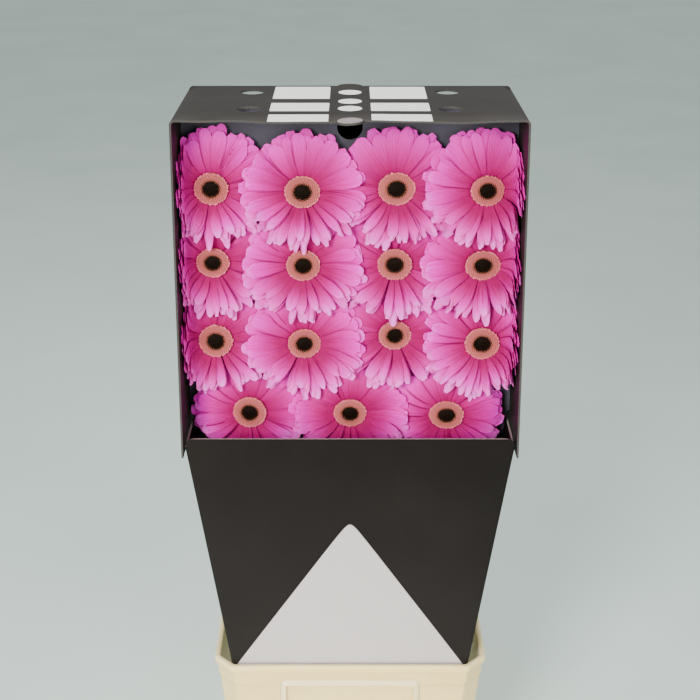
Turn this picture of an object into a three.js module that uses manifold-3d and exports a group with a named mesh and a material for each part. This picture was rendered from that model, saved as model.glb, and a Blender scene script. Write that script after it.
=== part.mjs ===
// Fifteen cut gerberas in a black card display carton that stands in a cream water bucket.
// Millimetres, +Z up. The origin is on the ground under the middle, and the open front faces -Y.
import * as THREE from 'three';
import { mergeVertices } from 'three/addons/utils/BufferGeometryUtils.js';
import Module from 'manifold-3d';

const wasm = await Module();
wasm.setup();

// Bucket
const BUCKET_HEIGHT = 185;
const BUCKET_WALL = 3;
const BUCKET_BASE = 4;
const BUCKET_FOOT = { x: 126, y: 77.4, chamfer: 18 };
const BUCKET_TOP = { x: 143, y: 86.4, chamfer: 18 };
const RIM_OUT = 3;
const RIM_DROP = 8;
const LABEL_WIDTH = 150;
const LABEL_HEIGHT = 75;
const LABEL_BAR = 7;
const LABEL_PROUD = 2.2;
const LABEL_BELOW_RIM = 18;
const WATER_LEVEL = 108;

// Carton: the hood, the tapered hopper under it and the panel behind the blooms
const CARD = 2;
const FIT = 0.3;
const ROOF_TOP = 773;
const HOOD_HALF_TOP = 166;
const HOOD_HALF_LOW = 169.5;
const HOOD_HEIGHT = 345;
const HOOD_CORNER = 5;
const FRONT = -80;
const BACK = 82;
const BACK_SLOT = 36;
const HOPPER_TOP = 449;
const HOPPER_END = 116;
const HOPPER_HALF_AT_RIM = 127;
const HOPPER_CORNER = 9;
const PANEL_FRONT = -12;
const PANEL_END = 392;
const STEM_HOLE = { radius: 8, sides: 10 };
const THUMB_HOLE = { radius: 12.5, sides: 20, drop: 22 };
const ROOF_HOLE = 12;
const ROOF_HOLES = [[-98, 50], [98, 50], [-96, -32], [96, -32]];
const TAB_RADIUS = 12.5;
const ROUND_SIDES = 16;
const CURVE_STEPS = 3;
const CUT_PAST = 5; // how far a cutting solid runs past what it cuts

// Blooms: the place across and the height of each one's middle, and how far back each row's stems stand
const ROWS = [
  { places: [[-134, 696], [-46, 693], [45, 696], [133, 694]], lane: 64 },
  { places: [[-135, 621], [-46, 618], [44, 619], [131, 618]], lane: 48 },
  { places: [[-135, 538], [-46, 535], [45, 544], [133, 535]], lane: 32 },
  { places: [[-103, 459], [0, 458], [99, 456]], lane: 16 },
];
const BLOOM_Y = -36;
const BLOOM_RADIUS = 61.5;
const BLOOM_SPREAD = 1.2;
const BLOOM_TILT = THREE.MathUtils.degToRad(6);

// Petals: two layers, this far in front of and behind their middle, each with this many blades
const PETALS = 11;
const PETAL_LAYER = 1.5;
const PETAL_HALF = 0.5;
const PETAL_GROOVE = 0.4;
const PETAL_HALF_WIDTH = 8.2;
const TIP_HALF_WIDTH = 5.4;
const WIDE_AT = 0.72;
const SHOULDER_AT = 0.95;
const LENGTH_SPREAD = 0.04;
const ANGLE_SPREAD = 0.03;
const TIP_SPREAD = 0.5;
const ROOT_RADIUS = 17.5;
const WEB_RADIUS = 20.5;
const SPLIT_RADIUS = 25;

// How the petals lie: bent back towards their tips, over the blooms laid in before, and up the side walls
const FLAT_RADIUS = 20;
const REFLEX = 9;
const LYING_GAP = 7;
const LYING_FALL = 0.8;
const LYING_REACH = 16;
const LYING_SOFT = 2;
const WALL_BEND_START = 18;
const WALL_BEND_ANGLE = THREE.MathUtils.degToRad(89);
const WALL_CLEAR = 2.5;
const WALL_SLACK = 1;
const WALL_PETAL = 0.81;
const WALL_SIDE = 0.35;

// Discs and stems: radii in turn round the disc at each height, and the bracts' radius at each depth
const DISC_PROFILE = [
  [[16.7], -3.2], [[17, 16.2], 1.2], [[12.2, 14.2], 5], [[9.2, 8.2], 2.8], [[4.4, 6], 5.2],
];
const DISC_SIDES = 12;
const BRACT_PROFILE = [[14, 3.8], [13, 8], [8.5, 13], [3.4, 17]];
const STEM_RADIUS = 3;
const STEM_SIDES = 6;
const STEM_BEND_STEPS = 4;
const STEM_FOOT = 12;
const STEM_BEHIND_PANEL = 2;
const STEM_ABOVE_WATER = 12;
const STEM_CONVERGE = 0.66;

const { cos, sin, tan, abs, min, max, sign, PI, hypot } = Math;

const finish = (color, roughness) => new THREE.MeshStandardMaterial({ color, roughness, metalness: 0 });
const card = finish(0x35322f, 0.75);
const cream = finish(0xeadfc6, 0.45);
const waterClear = finish(0xa9c6c8, 0.1);
const petalPink = finish(0xe25fb0, 0.6);
const discPeach = finish(0xd99a86, 0.8);
const stemGreen = finish(0x6f8f45, 0.6);

const part = new THREE.Group();

function addMesh(name, geometry, material) {
  const mesh = new THREE.Mesh(geometry, material);
  mesh.name = name;
  part.add(mesh);
}

// A repeatable random draw between -1 and 1.
const DRAW_RANGE = 2147483647;
const DRAW_STEP = 16807;
let seed = 2024;
function draw() {
  seed = (seed * DRAW_STEP) % DRAW_RANGE;
  return (seed / DRAW_RANGE) * 2 - 1;
}

// Joining and cutting closed meshes

const SAME_POINT = 1e-4;

function toSolid(geometry) {
  const bare = geometry.clone();
  bare.deleteAttribute('normal');
  bare.deleteAttribute('uv');
  const merged = mergeVertices(bare, SAME_POINT);
  return new wasm.Manifold(new wasm.Mesh({
    numProp: 3,
    vertProperties: new Float32Array(merged.attributes.position.array),
    triVerts: new Uint32Array(merged.index.array),
  }));
}

function toGeometry(solid) {
  const mesh = solid.getMesh();
  return meshGeometry(mesh.vertProperties, mesh.triVerts);
}

function meshGeometry(positions, indices) {
  const geometry = new THREE.BufferGeometry();
  geometry.setAttribute('position', new THREE.BufferAttribute(new Float32Array(positions), 3));
  geometry.setIndex(new THREE.BufferAttribute(new Uint32Array(indices), 1));
  return geometry;
}

// A closed skin through rings of equal point counts, counter-clockwise seen from the last ring's side.
function loft(rings) {
  const count = rings[0].length;
  const positions = rings.flat().flatMap((p) => [p.x, p.y, p.z]);
  const faces = [];
  for (let r = 0; r + 1 < rings.length; r++) {
    for (let i = 0; i < count; i++) {
      const a = r * count + i;
      const b = r * count + ((i + 1) % count);
      faces.push(a, b, b + count, a, b + count, a + count);
    }
  }
  const last = (rings.length - 1) * count;
  for (let i = 1; i + 1 < count; i++) {
    faces.push(0, i + 1, i, last, last + i, last + i + 1);
  }
  return meshGeometry(positions, faces);
}

// Bucket and water

// The eight corners of a rectangle with its corners cut off, at one height.
function facetRing({ x, y, chamfer }, z) {
  const c = chamfer;
  return [
    [x, -y + c], [x, y - c], [x - c, y], [-x + c, y],
    [-x, y - c], [-x, -y + c], [-x + c, -y], [x - c, -y],
  ].map(([px, py]) => new THREE.Vector3(px, py, z));
}

function bucketWallAt(z, inset) {
  const t = z / BUCKET_HEIGHT;
  return {
    x: THREE.MathUtils.lerp(BUCKET_FOOT.x, BUCKET_TOP.x, t) - inset,
    y: THREE.MathUtils.lerp(BUCKET_FOOT.y, BUCKET_TOP.y, t) - inset,
    chamfer: BUCKET_TOP.chamfer - inset * (2 - Math.SQRT2),
  };
}

function labelFrame() {
  const depth = LABEL_PROUD + BUCKET_WALL / 2;
  const w = LABEL_WIDTH / 2;
  const outline = new THREE.Shape([[-w, -LABEL_HEIGHT], [w, -LABEL_HEIGHT], [w, 0], [-w, 0]]
    .map(([x, y]) => new THREE.Vector2(x, y)));
  outline.holes.push(new THREE.Path([
    [-w + LABEL_BAR, -LABEL_HEIGHT + LABEL_BAR], [-w + LABEL_BAR, -LABEL_BAR],
    [w - LABEL_BAR, -LABEL_BAR], [w - LABEL_BAR, -LABEL_HEIGHT + LABEL_BAR],
  ].map(([x, y]) => new THREE.Vector2(x, y))));
  const frame = new THREE.ExtrudeGeometry(outline, { depth, bevelEnabled: false });
  const lean = Math.atan2(BUCKET_TOP.y - BUCKET_FOOT.y, BUCKET_HEIGHT);
  const topZ = BUCKET_HEIGHT - LABEL_BELOW_RIM;
  frame.translate(0, 0, -BUCKET_WALL / 2);
  frame.rotateX(PI / 2 + lean);
  frame.translate(0, -bucketWallAt(topZ, 0).y, topZ);
  return frame;
}

function makeBucket() {
  const rim = BUCKET_HEIGHT;
  const lip = bucketWallAt(rim, -RIM_OUT);
  const shell = loft([
    facetRing(BUCKET_FOOT, 0),
    facetRing(bucketWallAt(rim - RIM_DROP, 0), rim - RIM_DROP),
    facetRing(lip, rim - RIM_DROP),
    facetRing(lip, rim),
    facetRing(bucketWallAt(rim, BUCKET_WALL), rim),
    facetRing(bucketWallAt(BUCKET_BASE, BUCKET_WALL), BUCKET_BASE),
  ]);
  addMesh('bucket', toGeometry(toSolid(shell).add(toSolid(labelFrame()))), cream);
}

function makeWater(blooms) {
  const inset = BUCKET_WALL + FIT;
  const floor = BUCKET_BASE + FIT;
  let body = toSolid(loft([
    facetRing(bucketWallAt(floor, inset), floor),
    facetRing(bucketWallAt(WATER_LEVEL, inset), WATER_LEVEL),
  ]));
  const depth = WATER_LEVEL - STEM_FOOT + FIT + CUT_PAST;
  for (const bloom of blooms) {
    const bore = new THREE.CylinderGeometry(STEM_RADIUS + 2 * FIT, STEM_RADIUS + 2 * FIT, depth, STEM_SIDES);
    bore.rotateX(PI / 2);
    bore.translate(bloom.footX, bloom.lane, WATER_LEVEL + CUT_PAST - depth / 2);
    body = body.subtract(toSolid(bore));
  }
  addMesh('water', toGeometry(body), waterClear);
}

// Carton

function hoodHalf(z) {
  return THREE.MathUtils.lerp(HOOD_HALF_TOP, HOOD_HALF_LOW, (ROOF_TOP - z) / HOOD_HEIGHT);
}

function hopperHalf(z) {
  const top = hoodHalf(HOPPER_TOP) - CARD - FIT;
  const t = (HOPPER_TOP - z) / (HOPPER_TOP - BUCKET_HEIGHT);
  return top + (HOPPER_HALF_AT_RIM - top) * t;
}

// An outline drawn in x and z, given thickness from y0 to y1.
function upright(shape, y0, y1) {
  const settings = { depth: y1 - y0, bevelEnabled: false, curveSegments: CURVE_STEPS };
  const geometry = new THREE.ExtrudeGeometry(shape, settings);
  geometry.rotateX(PI / 2);
  geometry.translate(0, y1, 0);
  return geometry;
}

// The hood's outline with rounded upper corners, its sides moved in by an inset.
function hoodShape(inset, low) {
  const top = ROOF_TOP - inset;
  const r = HOOD_CORNER - inset;
  const upper = hoodHalf(top - r) - inset;
  const lower = hoodHalf(low) - inset;
  const shape = new THREE.Shape();
  shape.moveTo(-lower, low);
  shape.lineTo(lower, low);
  shape.lineTo(upper, top - r);
  shape.absarc(upper - r, top - r, r, 0, PI / 2);
  shape.lineTo(-upper + r, top);
  shape.absarc(-upper + r, top - r, r, PI / 2, PI);
  return shape;
}

function roundPunch(radius, x, y, z, depth) {
  const punch = new THREE.CylinderGeometry(radius, radius, depth, ROUND_SIDES);
  punch.rotateX(PI / 2);
  punch.translate(x, y, z);
  return toSolid(punch);
}

// A half-round finger tab in the plane of the roof, standing out past its edge.
function fingerTab(edge, reach) {
  const tab = new THREE.CylinderGeometry(TAB_RADIUS, TAB_RADIUS, CARD, ROUND_SIDES);
  tab.rotateX(PI / 2);
  tab.scale(1, reach / TAB_RADIUS, 1);
  tab.translate(0, edge, ROOF_TOP - CARD / 2);
  return toSolid(tab);
}

function makeHood() {
  const low = ROOF_TOP - HOOD_HEIGHT;
  let hood = toSolid(upright(hoodShape(0, low), FRONT, BACK));
  hood = hood.subtract(toSolid(upright(hoodShape(CARD, low - CUT_PAST), FRONT - CUT_PAST, BACK - CARD)));
  const slot = new THREE.BoxGeometry(2 * (HOOD_HALF_TOP - 3 * CARD), 2 * CUT_PAST, BACK_SLOT - CARD);
  slot.translate(0, BACK, ROOF_TOP - CARD - (BACK_SLOT - CARD) / 2);
  hood = hood.subtract(toSolid(slot));
  hood = hood.add(fingerTab(FRONT, TAB_RADIUS)).add(fingerTab(BACK, TAB_RADIUS - CARD));
  for (const [x, y] of ROOF_HOLES) {
    hood = hood.subtract(roundPunch(ROOF_HOLE, x, y, ROOF_TOP, 3 * CARD));
  }
  addMesh('hood', toGeometry(hood), card);
}

// The hopper's outline: straight tapering sides and rounded upper corners.
function hopperShape(inset, top, low) {
  const r = HOPPER_CORNER;
  const shape = new THREE.Shape();
  shape.moveTo(-hopperHalf(low) + inset, low);
  shape.lineTo(hopperHalf(low) - inset, low);
  shape.lineTo(hopperHalf(top - r) - inset, top - r);
  shape.absarc(hopperHalf(top - r) - inset - r, top - r, r, 0, PI / 2);
  shape.lineTo(-hopperHalf(top - r) + inset + r, top);
  shape.absarc(-hopperHalf(top - r) + inset + r, top - r, r, PI / 2, PI);
  return shape;
}

function makeHopper() {
  const cutTop = HOPPER_TOP + 2 * HOPPER_CORNER;
  const front = FRONT + FIT;
  const back = BACK - CARD - FIT;
  const outer = toSolid(upright(hopperShape(0, HOPPER_TOP, HOPPER_END), front, back));
  const inner = upright(hopperShape(CARD, cutTop, HOPPER_END - CUT_PAST), front + CARD, back - CARD);
  addMesh('hopper', toGeometry(outer.subtract(toSolid(inner))), card);
}

// The panel behind the blooms, with its shoulders on the hopper's edges and a hole for each stem.
function makeHeadPanel(blooms) {
  const top = ROOF_TOP - CARD - FIT;
  const shoulder = HOPPER_TOP + FIT;
  const wide = (z) => hoodHalf(z) - CARD - FIT;
  const narrow = (z) => hopperHalf(z) - CARD - FIT;
  const topHalf = wide(top) - HOOD_CORNER;
  const outline = [
    [-narrow(PANEL_END), PANEL_END], [narrow(PANEL_END), PANEL_END],
    [narrow(shoulder), shoulder],
    [wide(shoulder), shoulder], [wide(top - HOOD_CORNER), top - HOOD_CORNER], [topHalf, top],
    [-topHalf, top], [-wide(top - HOOD_CORNER), top - HOOD_CORNER], [-wide(shoulder), shoulder],
    [-narrow(shoulder), shoulder],
  ];
  const shape = new THREE.Shape(outline.map(([x, z]) => new THREE.Vector2(x, z)));
  const hole = (x, z, { radius, sides }) => {
    const round = new THREE.EllipseCurve(x, z, radius, radius, 0, 2 * PI, true);
    shape.holes.push(new THREE.Path(round.getPoints(sides).slice(0, sides)));
  };
  const middle = PANEL_FRONT + CARD / 2;
  for (const bloom of blooms) {
    hole(bloom.x, bloom.z - (middle - BLOOM_Y) * tan(BLOOM_TILT), STEM_HOLE);
  }
  hole(0, ROOF_TOP - THUMB_HOLE.drop, THUMB_HOLE);
  addMesh('head_panel', upright(shape, PANEL_FRONT, PANEL_FRONT + CARD), card);
}

// Blooms

// Every bloom in the order in which it is laid in: the lowest row first, and in a row every other one.
function layBlooms() {
  const blooms = [];
  for (let r = ROWS.length - 1; r >= 0; r--) {
    const { places, lane } = ROWS[r];
    const order = [...places.keys()].sort((a, b) => (a % 2) - (b % 2) || a - b);
    for (const c of order) {
      const [x, z] = places[c];
      const room = hoodHalf(z) - CARD - WALL_CLEAR - abs(x);
      blooms.push({
        name: `${r + 1}${c + 1}`,
        x,
        z,
        lane,
        footX: x * STEM_CONVERGE,
        radius: BLOOM_RADIUS + BLOOM_SPREAD * draw(),
        spin: draw() * PI / PETALS,
        wall: room < BLOOM_RADIUS ? sign(x) : 0,
        bend: room - WALL_BEND_START - WALL_SLACK,
      });
    }
  }
  return blooms;
}

// The larger of two heights, with the corner between them rounded off.
function smoothMax(a, b) {
  return max(a, b) + max(LYING_SOFT - abs(a - b), 0) ** 2 / (4 * LYING_SOFT);
}

// How far forward the middle of a bloom's petals lies at a place on the front. Free petals leave the tilted
// disc level and bend back towards their tips. Where an earlier bloom is under them, they lie on it.
function forwardAt(blooms, index, x, z) {
  const levels = [];
  for (let i = 0; i <= index; i++) {
    const { x: cx, z: cz } = blooms[i];
    const r = hypot(x - cx, (z - cz) / cos(BLOOM_TILT));
    let level = -BLOOM_Y - (z - cz) * tan(BLOOM_TILT);
    level -= REFLEX * (max(r - FLAT_RADIUS, 0) / (BLOOM_RADIUS - FLAT_RADIUS)) ** 2;
    for (const under of levels) {
      if (under.past < LYING_REACH) {
        level = smoothMax(level, under.level + LYING_GAP - LYING_FALL * max(under.past, 0));
      }
    }
    levels.push({ level, past: r - blooms[i].radius });
  }
  return levels[index].level;
}

// The middle of a bloom's petal sheet at a distance and angle from its centre, bent forward along the wall.
function sheetPoint(blooms, index, r, angle) {
  const bloom = blooms[index];
  let across = r * cos(angle);
  const up = r * sin(angle);
  let lift = 0;
  if (bloom.wall && across * bloom.wall > WALL_BEND_START) {
    const past = across * bloom.wall - WALL_BEND_START;
    const turn = min(past / bloom.bend, WALL_BEND_ANGLE);
    const rest = past - turn * bloom.bend;
    across = bloom.wall * (WALL_BEND_START + bloom.bend * sin(turn) + rest * cos(turn));
    lift = bloom.bend * (1 - cos(turn)) + rest * sin(turn);
  }
  const x = bloom.x + across;
  const z = bloom.z + up * cos(BLOOM_TILT);
  return new THREE.Vector3(x, -(forwardAt(blooms, index, x, z) + lift), z);
}

// The sheet's point moved along the sheet's own normal by a height.
function sheetPointAt(blooms, index, r, angle, height) {
  const step = 0.5;
  const point = sheetPoint(blooms, index, r, angle);
  const outward = sheetPoint(blooms, index, r + step, angle).sub(point);
  const around = sheetPoint(blooms, index, r, angle + step / r).sub(point);
  return point.addScaledVector(outward.cross(around).normalize(), height);
}

// One bloom's petals: two layers of blades, staggered, that spring from one ring round the disc.
// Each blade has a thick middle and thin edges, and its two faces are split into the same triangles.
function makePetals(blooms, index) {
  const bloom = blooms[index];
  const positions = [];
  const faces = [];
  const put = (r, angle, height) => {
    const p = sheetPointAt(blooms, index, r, angle, height);
    positions.push(p.x, p.y, p.z);
    return positions.length / 3 - 1;
  };
  const count = 2 * PETALS;
  const angleOf = (j) => bloom.spin + (j * PI) / PETALS;
  const ring = (r, height) => Array.from({ length: count }, (_, j) => put(r, angleOf(j), height));
  const inner = PETAL_LAYER - PETAL_HALF;
  const outer = PETAL_LAYER + PETAL_HALF;
  const rootTop = ring(ROOT_RADIUS, outer);
  const webTop = ring(WEB_RADIUS, inner);
  const webBottom = ring(WEB_RADIUS, -inner);
  const rootBottom = ring(ROOT_RADIUS, -outer);
  for (let j = 0; j < count; j++) {
    const k = (j + 1) % count;
    faces.push([webTop[j], webBottom[k], webTop[k]], [webTop[j], webBottom[j], webBottom[k]]);
    faces.push([rootTop[j], rootTop[k], rootBottom[k]], [rootTop[j], rootBottom[k], rootBottom[j]]);
  }
  for (const layer of [1, -1]) {
    const middle = layer * PETAL_LAYER;
    const first = layer > 0 ? 0 : 1;
    const topRing = layer > 0 ? rootTop : webBottom;
    const bottomRing = layer > 0 ? webTop : rootBottom;
    const splits = Array.from({ length: PETALS }, (_, i) =>
      put(SPLIT_RADIUS, angleOf(first + 2 * i - 1), middle + PETAL_GROOVE));
    for (let i = 0; i < PETALS; i++) {
      const j = first + 2 * i;
      const [left, mid, right] = [(j + count - 1) % count, j, (j + 1) % count];
      const angle = angleOf(j) + ANGLE_SPREAD * draw();
      const atWall = cos(angle) * bloom.wall > WALL_SIDE;
      const length = bloom.radius * (atWall ? WALL_PETAL : 1 - LENGTH_SPREAD * abs(draw()));
      const wide = length * WIDE_AT;
      const shoulder = length * SHOULDER_AT;
      const [wideAngle, shoulderAngle] = [PETAL_HALF_WIDTH / wide, TIP_HALF_WIDTH / shoulder];
      const tipLift = TIP_SPREAD * draw();
      const l1 = put(wide, angle - wideAngle, middle + PETAL_GROOVE);
      const r1 = put(wide, angle + wideAngle, middle + PETAL_GROOVE);
      const l2 = put(shoulder, angle - shoulderAngle, middle + tipLift);
      const r2 = put(shoulder, angle + shoulderAngle, middle + tipLift);
      const tip = put(length, angle, middle + tipLift);
      const [sl, sr] = [splits[i], splits[(i + 1) % PETALS]];
      for (const side of [1, -1]) {
        const root = side > 0 ? topRing : bottomRing;
        const height = middle + side * PETAL_HALF - PETAL_GROOVE / 2;
        const c0 = put(SPLIT_RADIUS, angleOf(j), height);
        const c1 = put(wide, angle, height);
        const face = [
          [root[left], sl, c0], [root[left], c0, root[mid]],
          [root[mid], c0, sr], [root[mid], sr, root[right]],
          [sl, l1, c1], [sl, c1, c0], [c0, c1, r1], [c0, r1, sr],
          [c1, l1, l2], [c1, l2, tip], [c1, tip, r2], [c1, r2, r1],
        ];
        faces.push(...(side > 0 ? face : face.map(([a, b, c]) => [a, c, b])));
      }
    }
  }
  addMesh(`petals_${bloom.name}`, meshGeometry(positions, faces.flat()), petalPink);
}

// A bloom's own directions: across, up along the disc, and out of the disc towards the viewer.
const ACROSS = new THREE.Vector3(1, 0, 0);
const UP = new THREE.Vector3(0, sin(BLOOM_TILT), cos(BLOOM_TILT));
const OUT = new THREE.Vector3(0, -cos(BLOOM_TILT), sin(BLOOM_TILT));

function bloomRing(bloom, radii, height, sides) {
  return Array.from({ length: sides }, (_, i) => {
    const angle = bloom.spin + (2 * PI * i) / sides;
    const radius = radii[i % radii.length];
    return new THREE.Vector3(bloom.x, BLOOM_Y, bloom.z)
      .addScaledVector(ACROSS, radius * cos(angle))
      .addScaledVector(UP, radius * sin(angle))
      .addScaledVector(OUT, height);
  });
}

// The disc: a ring of small florets in relief round a raised dark eye, on a flat underside.
function makeDisc(bloom) {
  const rings = DISC_PROFILE.map(([radii, height]) => bloomRing(bloom, radii, height, DISC_SIDES));
  addMesh(`disc_${bloom.name}`, loft(rings), discPeach);
}

// The stem and its cup of bracts: back from the disc through the panel, round a bend and down to the water.
function makeStem(bloom) {
  const rings = BRACT_PROFILE
    .map(([radius, depth]) => bloomRing({ ...bloom, spin: 0 }, [radius], -depth, STEM_SIDES));
  const ringAt = (x, y, z, slope) => {
    rings.push(Array.from({ length: STEM_SIDES }, (_, i) => {
      const angle = (2 * PI * i) / STEM_SIDES;
      const across = STEM_RADIUS * cos(angle);
      const up = STEM_RADIUS * sin(angle);
      return new THREE.Vector3(x + across, y + up * sin(slope), z + up * cos(slope));
    }));
  };
  const bendY = PANEL_FRONT + CARD + STEM_BEHIND_PANEL;
  const bendZ = bloom.z - (bendY - BLOOM_Y) * tan(BLOOM_TILT);
  const bendRadius = (bloom.lane - bendY) / (1 - sin(BLOOM_TILT));
  for (let s = 0; s <= STEM_BEND_STEPS; s++) {
    const slope = THREE.MathUtils.lerp(BLOOM_TILT, PI / 2, s / STEM_BEND_STEPS);
    ringAt(
      bloom.x,
      bendY + bendRadius * (sin(slope) - sin(BLOOM_TILT)),
      bendZ - bendRadius * (cos(BLOOM_TILT) - cos(slope)),
      slope,
    );
  }
  ringAt(bloom.footX, bloom.lane, WATER_LEVEL + STEM_ABOVE_WATER, PI / 2);
  ringAt(bloom.footX, bloom.lane, STEM_FOOT, PI / 2);
  addMesh(`stem_${bloom.name}`, loft(rings.reverse()), stemGreen);
}

const blooms = layBlooms();
makeBucket();
makeWater(blooms);
makeHood();
makeHopper();
makeHeadPanel(blooms);
blooms.forEach((bloom, index) => {
  makePetals(blooms, index);
  makeDisc(bloom);
  makeStem(bloom);
});

export default part;
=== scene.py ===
from math import cos, pi, radians, sin, sqrt, tan

import bpy
import numpy as np
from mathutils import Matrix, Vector
from mathutils.geometry import delaunay_2d_cdt


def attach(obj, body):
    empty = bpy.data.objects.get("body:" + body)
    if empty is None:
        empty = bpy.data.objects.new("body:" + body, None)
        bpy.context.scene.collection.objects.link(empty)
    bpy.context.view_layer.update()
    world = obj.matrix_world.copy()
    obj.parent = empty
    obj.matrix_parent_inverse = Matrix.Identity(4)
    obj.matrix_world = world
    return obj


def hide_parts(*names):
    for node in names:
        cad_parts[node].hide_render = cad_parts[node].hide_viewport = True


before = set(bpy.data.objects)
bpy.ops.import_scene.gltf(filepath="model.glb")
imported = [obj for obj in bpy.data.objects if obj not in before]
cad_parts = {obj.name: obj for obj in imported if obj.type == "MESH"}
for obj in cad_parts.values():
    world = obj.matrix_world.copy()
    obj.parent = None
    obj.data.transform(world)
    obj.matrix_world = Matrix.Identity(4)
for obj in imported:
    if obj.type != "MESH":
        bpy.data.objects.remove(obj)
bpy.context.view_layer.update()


# Bucket
# An injection-moulded cream plastic bucket with cut corners and a turned-over rim, duller inside. A label
# frame is moulded on its front. Rim and frame have a painted highlight, and painted shade round the frame's
# foot.

MM = 0.001
BUCKET_HEIGHT = 185.0
BUCKET_FOOT = np.array([126.0, 77.4])
BUCKET_TOP = np.array([143.0, 86.4])
BUCKET_CHAMFER, CHAMFER_LOSS = 18.0, 0.58
BUCKET_SMUDGES = 14.0
# Above this height the rim's top carries a painted highlight.
HIGHLIGHT_ABOVE = 184.0
LABEL_HALF, LABEL_HEIGHT, LABEL_BAR, LABEL_TOP, LABEL_STEPS = 75.0, 75.0, 7.0, 167.0, 96


def grid_quads(rows, columns, closed=False):
    """Quads between the points of a grid kept row by row. Closed joins the last column to the first."""
    row = np.arange(rows - 1)[:, None]
    column = np.arange(columns if closed else columns - 1)[None, :]
    after = (column + 1) % columns
    corners = [row * columns + column, row * columns + after,
               (row + 1) * columns + after, (row + 1) * columns + column]
    return np.stack(np.broadcast_arrays(*corners), axis=-1).reshape(-1, 4)


def tube_faces(rows, columns):
    """The quads of a tube kept ring by ring, and the two faces that close its ends."""
    ring = np.arange(columns)
    return [grid_quads(rows, columns, closed=True), np.array([ring[::-1], ring + (rows - 1) * columns])]


def corner_pairs(first, second, faces):
    """Two numbers for each corner of each face, from the two that every point has."""
    return [np.stack([first[group], second[group]], axis=-1) for group in faces]


def unit(vectors):
    """The same directions, with a length of one."""
    return vectors / np.linalg.norm(vectors, axis=-1, keepdims=True)


def put_in_scene(name, data):
    """A new object in the scene, unturned at the origin."""
    made = bpy.data.objects.new(name, data)
    bpy.context.scene.collection.objects.link(made)
    return made


def add_piece(name, points, faces, materials, stands_for, uv=None, tint=None, kinds=None, crease=40):
    """A mesh from points in millimetres and a list of face arrays. uv and tint hold two numbers per face
    corner, and kinds one material number per face. The faces are turned round as a whole where their volume
    is negative."""
    points = np.asarray(points, float).reshape(-1, 3) * MM
    fans = [group[:, [0, k, k + 1]] for group in faces for k in range(1, group.shape[1] - 1)]
    a, b, c = (points[corner] for corner in np.concatenate(fans).T)
    turn = -1 if np.einsum("ij,ij->i", a, np.cross(b, c)).sum() < 0 else 1
    mesh = bpy.data.meshes.new(name)
    mesh.from_pydata(points.tolist(), [], [face for group in faces for face in group[:, ::turn].tolist()])
    for layer, values in (("UVMap", uv), ("Tint", tint)):
        if values is not None:
            flat = np.concatenate([group[:, ::turn].reshape(-1, 2) for group in values])
            mesh.uv_layers.new(name=layer).data.foreach_set("uv", flat.astype(np.float32).ravel())
    if kinds is not None:
        mesh.polygons.foreach_set("material_index", np.concatenate(kinds).astype(np.int32))
    mesh.polygons.foreach_set("use_smooth", np.ones(len(mesh.polygons), bool))
    mesh.update()
    mesh.set_sharp_from_angle(angle=radians(crease))
    for material in materials:
        mesh.materials.append(material)
    piece = put_in_scene(name, mesh)
    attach(piece, "root")
    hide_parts(*stands_for)


class Field:
    """A value, place or colour that changes over a surface: one output of a shader node. Each step of
    arithmetic with it is one Math node in its own tree."""

    def __init__(self, socket):
        self.socket = socket

    def __add__(self, other):
        return math_node("ADD", self, other)

    def __sub__(self, other):
        return math_node("SUBTRACT", self, other)

    def __rsub__(self, other):
        return math_node("SUBTRACT", other, self)

    def __mul__(self, other):
        return math_node("MULTIPLY", self, other)

    def __pow__(self, power):
        return math_node("POWER", self, power)

    def __abs__(self):
        return math_node("ABSOLUTE", self)

    def __gt__(self, limit):
        return math_node("GREATER_THAN", self, limit)

    def __lt__(self, limit):
        return math_node("LESS_THAN", self, limit)

    def clamped(self):
        """The same sum, held between 0 and 1."""
        self.socket.node.use_clamp = True
        return self


def feed(node, inputs):
    """Fill a node's inputs, by name or number: a field is linked, a plain value or colour is set."""
    for key, value in inputs.items():
        socket = node.inputs[key]
        if isinstance(value, Field):
            node.id_data.links.new(value.socket, socket)
        else:
            socket.default_value = (*value, 1.0) if socket.type == "RGBA" else value


def put_node(tree, kind, inputs=None, **settings):
    """A node of a kind, with its settings and then its inputs."""
    node = tree.nodes.new(kind)
    for key, value in settings.items():
        setattr(node, key, value)
    feed(node, inputs or {})
    return node


def tree_of(*terms):
    """The node tree of the first term that is a field."""
    return next(term.socket.id_data for term in terms if isinstance(term, Field))


def math_node(operation, *terms):
    """One Math node's result."""
    node = put_node(tree_of(*terms), "ShaderNodeMath", dict(enumerate(terms)), operation=operation)
    return Field(node.outputs[0])


def blend(factor, first, second, how="MIX"):
    """One Mix node's colour: the first colour at 0 and the second at 1."""
    node = put_node(tree_of(factor, first, second), "ShaderNodeMix", data_type="RGBA", blend_type=how)
    feed(node, {0: factor, 6: first, 7: second})
    return Field(node.outputs[2])


def ramp(value, *stops):
    """A colour ramp's colour at a value; each stop is a place and a colour."""
    node = put_node(tree_of(value), "ShaderNodeValToRGB", {0: value})
    elements = node.color_ramp.elements
    while len(elements) < len(stops):
        elements.new(0.5)
    for element, (place, colour) in zip(elements, stops):
        element.position = place
        element.color = (*colour, 1.0)
    return Field(node.outputs[0])


def noise(place, scale, detail=2.0, roughness=0.5):
    """Soft clouds over a place, with finer ones added for each step of detail."""
    inputs = {"Vector": place, "Scale": scale, "Detail": detail, "Roughness": roughness}
    return Field(put_node(tree_of(place), "ShaderNodeTexNoise", inputs).outputs[0])


def bump(height, strength, distance):
    """The normal of a surface that rises and falls with a height."""
    inputs = {"Strength": strength, "Distance": distance, "Height": height}
    return Field(put_node(tree_of(height), "ShaderNodeBump", inputs).outputs[0])


def object_place(tree):
    """Where each point of the object is, in metres."""
    return Field(put_node(tree, "ShaderNodeTexCoord").outputs["Object"])


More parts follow.
